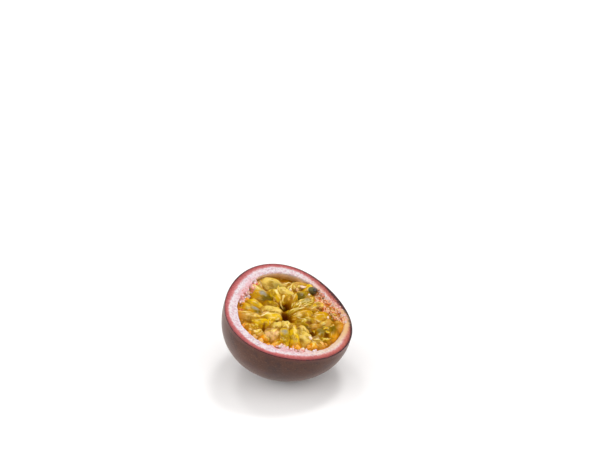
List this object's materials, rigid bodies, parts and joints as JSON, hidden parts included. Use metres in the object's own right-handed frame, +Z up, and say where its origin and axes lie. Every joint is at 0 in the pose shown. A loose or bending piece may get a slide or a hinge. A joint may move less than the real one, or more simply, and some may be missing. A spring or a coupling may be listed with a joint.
{
  "type": "passion fruit half",
  "caption": "Passion fruit cut in half across, cut face up: a bowl of purple-brown skin and pale pith filled with yellow juice sacs round dark seeds, resting tilted on its rounded base.",
  "frame": {"origin": "middle of the small flat spot under the fruit that it rests on", "axes": "+Z up, -Z into the surface it rests on; the cut face leans down towards -Y and +X"},
  "size_m": [0.0536, 0.0541, 0.0363],
  "materials": {
    "rind": "leathery purple-brown skin with a soft sheen; the cut shows dark pink flesh and moist white pith",
    "pulp": "wet, translucent yellow to orange juice sacs with dark seeds showing through",
    "seed": "smooth, hard, black and wet"
  },
  "bodies": {
    "root": {"shell": "rind", "pulp": "pulp"}
  },
  "joints": []
}
